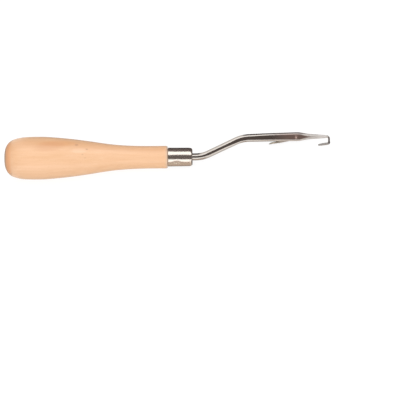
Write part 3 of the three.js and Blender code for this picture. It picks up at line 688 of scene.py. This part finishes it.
half_a = [(s_at(u), a) for u, a in HEAD_HEIGHT] + [
    (S_CORNER + 0.6, HOOK_HALF[0]), ((S_UPRIGHT + S_LOW) / 2, HOOK_HALF[0] - 0.1), (S_LOW, HOOK_HALF[0] + 0.01), (S_ARM, 0.59), (S_ARM + 2.2, 0.58), (S_TIP - 1.1, 0.5), (S_TIP - 0.5, 0.43), (S_TIP - 0.18, 0.3), (S_TIP - 0.04, 0.15), (S_TIP, 0.06)]
half_b = [(s_at(u), b) for u, b in HEAD_WIDTH] + [
    (S_UPRIGHT, HOOK_HALF[1]), (S_LOW, HOOK_HALF[1]), (S_ARM, 0.72), (S_ARM + 2.2, 0.72), (S_TIP - 1.1, 0.65), (S_TIP - 0.5, 0.55), (S_TIP - 0.18, 0.38), (S_TIP - 0.04, 0.19), (S_TIP, 0.07)]

open_dir = rad(LATCH_OPEN)


def at_latch(t, q):
    return (PIVOT[0] + t * math.cos(open_dir) - q * math.sin(open_dir), PIVOT[1] + t * math.sin(open_dir) + q * math.cos(open_dir))


slot_roof = [(137.3, 7.1), at_latch(11.3, -0.66), at_latch(10.9, -0.7), at_latch(1.3, -0.7)]
slot_roof += [(PIVOT[0] + SLOT_EYE_R * math.cos(rad(a)), PIVOT[1] + SLOT_EYE_R * math.sin(rad(a))) for a in (146, 138, 130, 122, 114, 106, 98, 90, 82, 74, 66)]
slot_roof += [(151.0, 9.9), (152.6, 9.27), (154.7, 8.36), (155.4, 7.7)]
roof_u, roof_v = (np.array(c) for c in zip(*slot_roof))


def spacing(s, u, on_arm):
    if on_arm or s > s_at(163.2):
        return 0.06
    if u < 62:
        return 0.35
    if u < 96:
        return 1.0 if not (64.2 < u < 72.8) else 0.2
    if u < 122:
        return 0.3
    if 136.9 < u < 138.4 or 146.8 < u < 155.4:
        return 0.07
    return 0.2


stations = [0.0]
while stations[-1] < S_TIP - 0.02:
    s = stations[-1]
    u = float(np.interp(s, S, centre_line[:, 0]))
    stations.append(s + spacing(s, u, s > S_CORNER))
stations[-1] = S_TIP - 0.001
stations = np.array(stations)

N_ARC, N_WALL, N_FLOOR, EDGE = 120, 5, 9, 0.09


def low_round(u, a, b):
    """Radius of the lower edges where the wire is pressed flat: a little sharper than the upper ones."""
    edge = float(np.interp(u, *zip(*LOW_EDGE)))
    return b - min(1.0, max(0.0, (a - b) / 0.3)) * max(0.0, b - edge)


def outline_length(a, b, r):
    """Half the length round a pressed section, from the middle of its underside to the middle of its top."""
    return (b - r) + math.pi / 2 * r + (2 * a - r - b) + math.pi / 2 * b


def pressed(a, b, r, q):
    """Section at angles q from the underside: half height a, half width b. Where a is more than b the cheeks are flat,
    the upper edges have radius b and the lower ones radius r."""
    if a <= b:
        return -a * np.cos(q), b * np.sin(q)
    turn = np.arctan2(np.sin(q), np.cos(q))
    # even steps of length along the outline
    x = np.abs(turn) / math.pi * outline_length(a, b, r)
    x1 = b - r
    x2 = x1 + math.pi / 2 * r
    x3 = x2 + 2 * a - r - b
    k1, k3 = (x - x1) / r, math.pi / 2 + (x - x3) / b
    n = np.where(x < x1, -a, np.where(x < x2, -(a - r) - r * np.cos(k1), np.where(x < x3, x - x2 - (a - r), (a - b) - b * np.cos(k3))))
    w = np.where(x < x1, x, np.where(x < x2, x1 + r * np.sin(k1), np.where(x < x3, b, b * np.sin(k3))))
    return n, w * np.where(turn < 0, -1, 1)


rings = []
for s in stations:
    c = np.array([np.interp(s, S, centre_line[:, 0]), np.interp(s, S, centre_line[:, 1])])
    h = float(np.interp(s, fine_s, fine_h))
    n = np.array([-math.sin(h), math.cos(h)])
    a, b = float(hermite(half_a, s)), float(hermite(half_b, s))
    u = c[0]
    r = low_round(u, a, b)
    floor = None
    if 137.3 < u < 155.3 and s < S_CORNER:
        v_roof = float(np.interp(u, roof_u, roof_v))
        floor = (v_roof - c[1]) / math.cos(h)
        if a > b:
            lip = -(a - r) - math.sqrt(r * r - max(0.0, SLOT_HALF + EDGE - (b - r)) ** 2)
        else:
            lip = -a * math.sqrt(max(0.0, 1 - ((SLOT_HALF + EDGE) / b) ** 2))
        if floor < lip + EDGE + 0.03:
            floor = None
    start = math.asin(min(0.98, (SLOT_HALF + EDGE) / b)) if b > 0.9 else math.asin(min(0.98, 0.6))
    if a > b:                                    # as a share of the outline's length
        start = math.pi * (b - r + r * math.asin((SLOT_HALF + EDGE - (b - r)) / r)) / outline_length(a, b, r)
    q = np.linspace(start, 2 * math.pi - start, N_ARC)
    nn, ww = pressed(a, b, r, q)
    if u < 73 and EAR_BACK <= u <= EAR_FRONT:
        edge = min(1.0, (u - EAR_BACK) / 2.0, (EAR_FRONT - u) / 2.0)
        span = 0.4 + (EAR_SPAN - 0.4) * max(0.0, edge)
        full = np.minimum(span / np.maximum(np.abs(np.cos(q)), 1e-6), EAR_THICK / 2 / np.maximum(np.abs(np.sin(q)), 1e-6))
        rr = np.maximum(a, full)
        nn, ww = -rr * np.cos(q), rr * np.sin(q)
    count = 2 * (N_WALL + 1) + N_FLOOR
    if floor is None:
        low = np.linspace(-start, start, count + 2)[1:-1]
        if u < 73 and EAR_BACK <= u <= EAR_FRONT:
            full = np.minimum(span / np.maximum(np.abs(np.cos(low)), 1e-6), EAR_THICK / 2 / np.maximum(np.abs(np.sin(low)), 1e-6))
            rr = np.maximum(a, full)
            bn, bw = -rr * np.cos(low), rr * np.sin(low)
        else:
            bn, bw = pressed(a, b, r, low)
    else:
        mouth = lip + EDGE
        mid = (lip + EDGE * 0.3, SLOT_HALF + EDGE * 0.3)
        fillet = min(0.12, (floor - mouth) * 0.4)
        wall = np.linspace(mouth, floor - fillet, N_WALL + 1)[:-1]
        fw = np.linspace(-SLOT_HALF, SLOT_HALF, N_FLOOR)
        fn = floor - fillet * np.clip((np.abs(fw) / SLOT_HALF - 0.75) / 0.25, 0, 1) ** 2
        bn = np.concatenate([[mid[0]], wall, fn, wall[::-1], [mid[0]]])
        bw = np.concatenate([[-mid[1]], np.full(N_WALL, -SLOT_HALF), fw, np.full(N_WALL, SLOT_HALF), [mid[1]]])
    nn, ww = np.concatenate([nn, bn]), np.concatenate([ww, bw])
    rings.append(np.stack([c[0] + nn * n[0], c[1] + nn * n[1], ww], 1))

needle = mesh_of("needle_plated", *skin(rings))


def pin(steps, sides=64, name="pin"):
    """A stepped cylinder along w at the pivot, from (w, radius) pairs."""
    q = (np.arange(sides) + 0.37) / sides * 2 * math.pi
    ring = [np.stack([PIVOT[0] + r * np.cos(q), PIVOT[1] + r * np.sin(q), np.full(sides, float(z))], 1) for z, r in steps]
    return mesh_of(name, *skin(ring))


SINK_R, SINK_W = RIVET_HEAD_R + 0.05, RIVET_HEAD_UNDER - 0.05
cut(needle, pin([(-4, SINK_R), (-SINK_W, SINK_R), (-SINK_W + 0.002, RIVET_HOLE_R), (SINK_W - 0.002, RIVET_HOLE_R), (SINK_W, SINK_R), (4, SINK_R)]))

p = points_of(needle)
flow = np.zeros_like(p)
near = np.concatenate([np.arange(0, S[-1], 0.1), [S[-1]]])
cu, cv, ch = np.interp(near, S, centre_line[:, 0]), np.interp(near, S, centre_line[:, 1]), np.interp(near, fine_s, fine_h)
for i in range(0, len(p), 2000):
    block = p[i:i + 2000]
    d = (block[:, 0:1] - cu) ** 2 + (block[:, 1:2] - cv) ** 2
    k = d.argmin(1)
    du, dv = block[:, 0] - cu[k], block[:, 1] - cv[k]
    flow[i:i + 2000, 0] = near[k] + du * np.cos(ch[k]) + dv * np.sin(ch[k])
    flow[i:i + 2000, 1] = -du * np.sin(ch[k]) + dv * np.cos(ch[k])
    flow[i:i + 2000, 2] = block[:, 2]
in_slot = (np.abs(p[:, 2]) < SLOT_HALF + 0.01) & (p[:, 0] > 137.2) & (p[:, 0] < 155.2)
in_slot &= np.abs(flow[:, 1]) < np.interp(p[:, 0], *np.array(HEAD_HEIGHT).T) - 0.25
finished(needle, "tool", ["needle", "hook"], NEEDLE, sharp=48, extra=[("flow", flow), ("recess", in_slot.astype(float))])

# ------------------------------------------------------------------ latch

TOP = [(0.643, 0.953), (1.05, 0.86), (2.0, 0.8), (4, 0.8), (6.9, 0.85), (9.0, 0.77), (10.6, 0.6), (12.0, 0.5), (13.2, 0.44), (13.9, 0.36), (14.2, 0.2)]
LOW = [(0.855, -0.769), (1.2, -0.63), (1.6, -0.56), (4, -0.5), (8.2, -0.38), (12.0, -0.4), (12.8, -0.33), (13.4, -0.17), (13.9, 0.0), (14.2, 0.14)]
HALF = [(-1.15, 0.45), (9.3, 0.45), (9.85, 0.60), (10.35, 0.82), (10.95, 1.02), (11.6, 1.1), (12.4, 1.08), (13.2, 0.94), (13.8, 0.66), (14.1, 0.34), (14.2, 0.1)]


def latch_section(t):
    top = math.sqrt(max(EYE_R ** 2 - t * t, 1e-6)) if t < 0.643 else float(hermite(TOP, t))
    low = -math.sqrt(max(EYE_R ** 2 - t * t, 1e-6)) if t < 0.855 else float(hermite(LOW, t))
    half = float(hermite(HALF, t))
    e = 1 - np.cos(np.linspace(0, math.pi / 2, 9))
    w = half * np.concatenate([-(1 - 0.22 * e[:-1]), np.linspace(-0.78, 0.78, 23), (1 - 0.22 * e[:-1])[::-1]])
    up = np.full(len(w), top)
    d = ((t - 11.3) / 2.5) ** 2 + (w / 0.8) ** 2
    up = np.where(d < 1, np.minimum(up, 0.92 - 0.86 * np.sqrt(np.clip(1 - d, 0, 1))), up)
    down = np.full(len(w), low)
    k = np.clip((t - 8.2) / 1.6, 0, 1)
    k = k * k * (3 - 2 * k)
    back_arc = 0.75 - np.sqrt(np.clip(1.15 ** 2 - w * w, 0, None))
    down = np.maximum(down, down + k * np.maximum(back_arc - down, 0))
    down = np.minimum(down, up - 0.02)
    side = np.linspace(0, 1, 6)[1:-1]
    right = [(w[-1], up[-1] + (down[-1] - up[-1]) * f) for f in side]
    left = [(w[0], down[0] + (up[0] - down[0]) * f) for f in side]
    pts = list(zip(w, up)) + right + list(zip(w[::-1], down[::-1])) + left
    return [(PIVOT[0] + t * math.cos(open_dir) - q * math.sin(open_dir),
             PIVOT[1] + t * math.sin(open_dir) + q * math.cos(open_dir), x) for x, q in pts]


ts = np.concatenate([-EYE_R * np.cos(np.linspace(0.03, math.pi / 2, 26)), np.arange(0.05, 8.0, 0.09), np.arange(8.0, 13.6, 0.06),
                     14.2 - 0.6 * (1 - np.sin(np.linspace(0, math.pi / 2, 18)))])
ts = np.unique(np.round(ts, 4))
latch_rings = np.array([latch_section(t) for t in ts])
for _ in range(5):                                             # takes the stamped edges off
    r0 = latch_rings.copy()
    mean = (np.roll(r0, 1, 1) + np.roll(r0, -1, 1)) / 2
    mean[1:-1] = mean[1:-1] * 0.6 + (r0[:-2] + r0[2:]) / 2 * 0.4
    latch_rings = r0 + 0.5 * (mean - r0)
latch = mesh_of("latch_stamped", *skin(latch_rings))
cut(latch, pin([(-3, EYE_HOLE_R), (3, EYE_HOLE_R)]))
p = points_of(latch)
finished(latch, "latch", "latch", LATCH, sharp=42, extra=[("recess", np.zeros(len(p)))])

# ------------------------------------------------------------------ rivet

pinned = [(-RIVET_HALF, 0.0), (-RIVET_HALF + 0.005, 0.16), (-RIVET_HALF + 0.03, 0.32), (-RIVET_HALF + 0.08, 0.46), (-RIVET_HALF + 0.15, 0.56),
          (-RIVET_HALF + 0.24, RIVET_HEAD_R), (-RIVET_HEAD_UNDER - 0.02, RIVET_HEAD_R), (-RIVET_HEAD_UNDER, RIVET_HEAD_R - 0.02), (-RIVET_HEAD_UNDER, RIVET_R)]
pinned += [(-x, y) for x, y in pinned[::-1]]
pv, pf = revolve(pinned, 72)
pv = np.stack([PIVOT[0] + pv[:, 2], PIVOT[1] + pv[:, 1], -pv[:, 0]], 1)
rivet = mesh_of("rivet_pin", pv, pf)
finished(rivet, "tool", "latch_rivet", RIVET, sharp=50, extra=[("recess", np.zeros(len(points_of(rivet))))])

# ------------------------------------------------------------------ floor

fm, g, s = material("floor_pale")
shade = g.noise(g.attr("position"), 6.0, 2.0, 0.5)
pale = g.mix(g.math("MULTIPLY", shade, 0.2), rgba(1.0, 1.0, 1.0), rgba(0.98, 0.98, 0.98))
g.put(s.inputs["Base Color"], g.mix(1.0, pale, rgba(FLOOR_BASE, FLOOR_BASE, FLOOR_BASE), "MULTIPLY"))
g.put(s.inputs["Emission Color"], pale)
s.inputs["Emission Strength"].default_value = FLOOR_GLOW
s.inputs["Roughness"].default_value = 0.9
s.inputs["Specular IOR Level"].default_value = 0.0
me = bpy.data.meshes.new("floor")
me.from_pydata([(-12, -12, -0.00004), (12, -12, -0.00004), (12, 12, -0.00004), (-12, 12, -0.00004)], [], [(0, 1, 2, 3)])
floor = bpy.data.objects.new("floor", me)
bpy.context.scene.collection.objects.link(floor)
me.materials.append(fm)
# The floor takes shadows and throws light back up; what the metal shows of it is set in the room
floor.visible_glossy = False
floor.visible_shadow = False

# ------------------------------------------------------------------ light
# The lights stand round the line of sight, which is square to the plane of the bends.

U, V, W = (Vector(TURN[:, k]) for k in range(3))
AIM = Vector((0.0, 0.0, 0.01))


def softbox(name, angle, half_angle, radiance, colour=(1, 1, 1), aside=0.0, distance=1.3):
    """A round box that only lights, at an angle from the line of sight towards +v, and aside towards +u."""
    d = (V * math.sin(rad(angle)) + W * math.cos(rad(angle))) * math.cos(rad(aside)) + U * math.sin(rad(aside))
    radius = distance * math.tan(rad(half_angle))
    data = bpy.data.lights.new(name, "AREA")
    data.shape = "DISK"
    data.size = 2 * radius
    data.energy = radiance * math.pi * math.pi * radius ** 2       # power of a disc that shines evenly
    data.color = colour
    o = bpy.data.objects.new(name, data)
    o.location = AIM + d * distance
    o.rotation_euler = (-d).to_track_quat("-Z", "Y").to_euler()
    o.visible_camera = False
    o.visible_glossy = False
    bpy.context.scene.collection.objects.link(o)
    return o


for name, settings in LIGHTS.items():
    softbox(name, **settings)

world = bpy.data.worlds.new("room")
bpy.context.scene.world = world
world.use_nodes = True
g = Graph(world.node_tree)
d = g.add("ShaderNodeTexCoord").outputs["Generated"]
du, dv, dw = (g.vec("DOT_PRODUCT", d, tuple(x)) for x in (U, V, W))
# how far the direction swings out of the plane of v and w: 0 in it, 1 along u
flat_length = g.math("MAXIMUM", g.math("SQRT", g.math("MULTIPLY_ADD", du, du, g.math("MULTIPLY", dv, dv))), 1e-4)
swing = g.math("DIVIDE", g.math("ABSOLUTE", du), flat_length)
edge = g.math("MULTIPLY_ADD", dv, LOW_ABOVE[1], LOW_ABOVE[0])
aside = g.range(g.math("SUBTRACT", swing, g.range(dv, -0.15, 0.15, 0.24, 0.1)), 0.0, 0.12)
beyond = g.math("MULTIPLY", g.range(dv, -0.05, 0.15), g.range(du, 0.0, 0.1))      # past the hook it stays dark on the far side
aside = g.math("MULTIPLY", aside, g.range(beyond, 1.0, 0.0, smooth=False))
edge = g.math("ADD", edge, g.math("MULTIPLY", aside, g.math("SUBTRACT", LOW_ASIDE, edge)))
ring = g.range(g.math("SUBTRACT", edge, dw), -0.03, 0.03)
ahead = g.mix(g.range(dv, -0.25, 0.25), ROOM["low_near"], ROOM["low_far"])
ahead = g.mix(g.range(dw, -0.35, -0.75, 0.0, 0.42), ahead, rgba(0.1, 0.08, 0.07))
ahead = g.mix(g.range(dw, 0.12, 0.3, 0.0, 0.16), ahead, rgba(0.1, 0.08, 0.07))
deep = g.math("MULTIPLY", g.range(dv, 0.0, 0.3), g.range(dw, -0.1, -0.65))
ahead = g.mix(g.math("MULTIPLY", deep, 0.62), ahead, rgba(0.02, 0.016, 0.015))
side = g.mix(g.range(dw, 0.3, 0.0), ROOM["low_side"], ROOM["low_side_deep"])
under = g.mix(aside, ahead, side)
under = g.mix(g.range(swing, 0.5, 0.66), under, ROOM["low_end"])
room = g.mix(ring, ROOM["top"], under)
for angle, half, radiance, begin, share in WINDOWS:
    centre = V * math.sin(rad(angle)) + W * math.cos(rad(angle))
    past = g.math("MULTIPLY", du, g.range(du, begin, begin + 0.08))
    length = g.math("SQRT", g.math("MULTIPLY_ADD", g.math("MULTIPLY", past, past), share ** 2 - 1.0, 1.0))
    towards = g.math("DIVIDE", g.vec("DOT_PRODUCT", d, tuple(centre)), length)
    inside = g.range(towards, math.cos(rad(half + 2)), math.cos(rad(half - 2)))
    room = g.mix(inside, room, rgba(radiance, radiance * 0.985, radiance * 0.96))
bg_room = g.add("ShaderNodeBackground", {"Color": room, "Strength": 1.0})
bg_seen = g.add("ShaderNodeBackground", {"Color": rgba(1, 1, 1), "Strength": 1.0})
ray = g.add("ShaderNodeLightPath")
both = g.add("ShaderNodeMixShader", {0: ray.outputs["Is Camera Ray"], 1: bg_room.outputs[0], 2: bg_seen.outputs[0]})
out = g.add("ShaderNodeOutputWorld")
world.node_tree.links.new(both.outputs[0], out.inputs["Surface"])

bpy.context.scene.view_settings.view_transform = "Standard"
bpy.context.scene.view_settings.look = "None"
bpy.context.scene.view_settings.exposure = 0.0
bpy.context.scene.view_settings.gamma = 1.0

# ------------------------------------------------------------------ camera: square to the plane of the bends, turned so that the handle rises slightly to the right

cam_data = bpy.data.cameras.new("camera")
cam = bpy.data.objects.new("camera", cam_data)
bpy.context.scene.collection.objects.link(cam)
bpy.context.scene.camera = cam
cam_data.sensor_width = 36.0
cam_data.lens = 36.0 * DISTANCE / (IMAGE * MM_PER_PX * 0.001)
butt = Vector(place([(0.0, 0.0, 0.0)])[0])
c, s_ = math.cos(rad(ROLL)), math.sin(rad(ROLL))
right, up = U * c - V * s_, U * s_ + V * c
off = (IMAGE / 2 - BUTT_PX[0], BUTT_PX[1] - IMAGE / 2)
cam.matrix_world = Matrix.Translation(butt + (right * off[0] + up * off[1]) * MM_PER_PX * 0.001 + W * DISTANCE) @ Matrix((right, up, W)).transposed().to_4x4()
cam_data.clip_start, cam_data.clip_end = 0.05, 60.0
